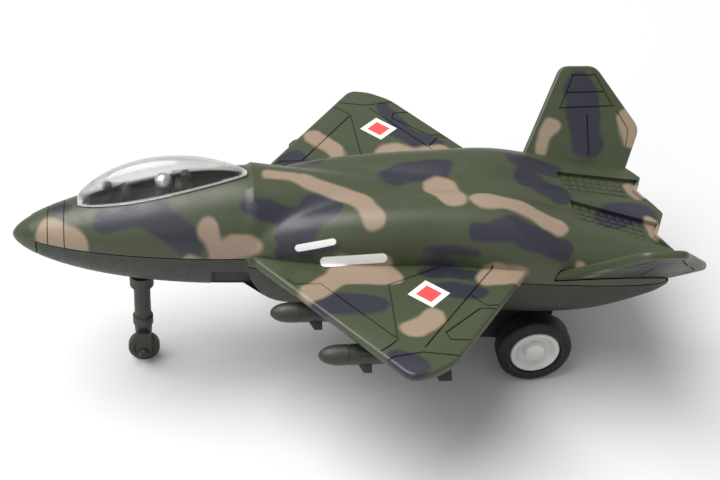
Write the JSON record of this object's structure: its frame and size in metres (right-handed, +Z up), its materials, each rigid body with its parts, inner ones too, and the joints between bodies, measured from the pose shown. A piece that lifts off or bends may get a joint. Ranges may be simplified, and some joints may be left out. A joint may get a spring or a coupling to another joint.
{
  "type": "toy airplane",
  "caption": "Pull-back toy jet with diamond wings, canted tail fins, clear canopy, underwing missiles and rolling tricycle wheels, as an assembly.",
  "frame": {"origin": "on the floor under the middle of the toy's bounding box", "axes": "+Z up, nose towards -Y, left (port) side towards +X"},
  "size_m": [0.123, 0.1744, 0.0668],
  "materials": {
    "camouflage_shell": "satin paint in olive, navy and tan camouflage",
    "plain_shell": "satin dark olive moulded plastic",
    "clear_canopy": "clear polished moulded plastic",
    "cockpit_black": "matt black moulded plastic",
    "helmet_silver": "satin silver paint",
    "gear_plastic": "satin dark olive moulded plastic",
    "steel": "bright drawn steel",
    "motor_black": "matt black moulded plastic",
    "hub_plastic": "pale grey moulded plastic",
    "tyre_rubber": "soft black rubber",
    "gear_nylon": "natural white nylon"
  },
  "bodies": {
    "airframe": {"upper_body": "camouflage_shell", "lower_body": "plain_shell", "canopy": "clear_canopy", "cockpit_tub": "cockpit_black", "instrument_panel": "plain_shell", "sight_post": "plain_shell", "ejection_seat": "plain_shell", "pilot_figure": "plain_shell", "pilot_helmet": "helmet_silver", "nose_gear_leg": "gear_plastic", "nose_axle_pin": "steel", "left_tail_fin": "camouflage_shell", "right_tail_fin": "camouflage_shell", "left_motor_case": "motor_black", "right_motor_case": "motor_black", "idler_shaft": "steel", "drum_shaft": "steel", "left_inner_missile": "plain_shell", "left_outer_missile": "plain_shell", "right_inner_missile": "plain_shell", "right_outer_missile": "plain_shell", "front_body_screw": "steel", "rear_body_screw": "steel"},
    "main_wheels": {"main_axle": "steel", "left_wheel_hub": "hub_plastic", "right_wheel_hub": "hub_plastic", "left_tyre": "tyre_rubber", "right_tyre": "tyre_rubber", "axle_pinion": "gear_nylon"},
    "idler": {"idler_gear": "gear_nylon"},
    "spring_drum": {"drum_gear": "gear_nylon", "mainspring": "steel"},
    "nose_wheel": {"nose_wheel": "gear_plastic"}
  },
  "joints": [
    {"name": "main_wheels_spin", "type": "hinge", "parent": "airframe", "child": "main_wheels", "pos_m": [0, 0.04787, 0.0102], "axis": [1, 0, 0], "continuous": true},
    {"name": "idler_spin", "type": "hinge", "parent": "airframe", "child": "idler", "pos_m": [0, 0.04321, 0.02136], "axis": [1, 0, 0], "continuous": true},
    {"name": "spring_drum_spin", "type": "hinge", "parent": "airframe", "child": "spring_drum", "pos_m": [0, 0.03185, 0.02323], "axis": [1, 0, 0], "continuous": true},
    {"name": "nose_wheel_spin", "type": "hinge", "parent": "airframe", "child": "nose_wheel", "pos_m": [0, -0.05771, 0.00432], "axis": [1, 0, 0], "continuous": true}
  ],
  "couplings": [
    {"joint": "idler_spin", "follows": "main_wheels_spin", "ratio": -0.33333},
    {"joint": "spring_drum_spin", "follows": "main_wheels_spin", "ratio": 0.11905}
  ]
}
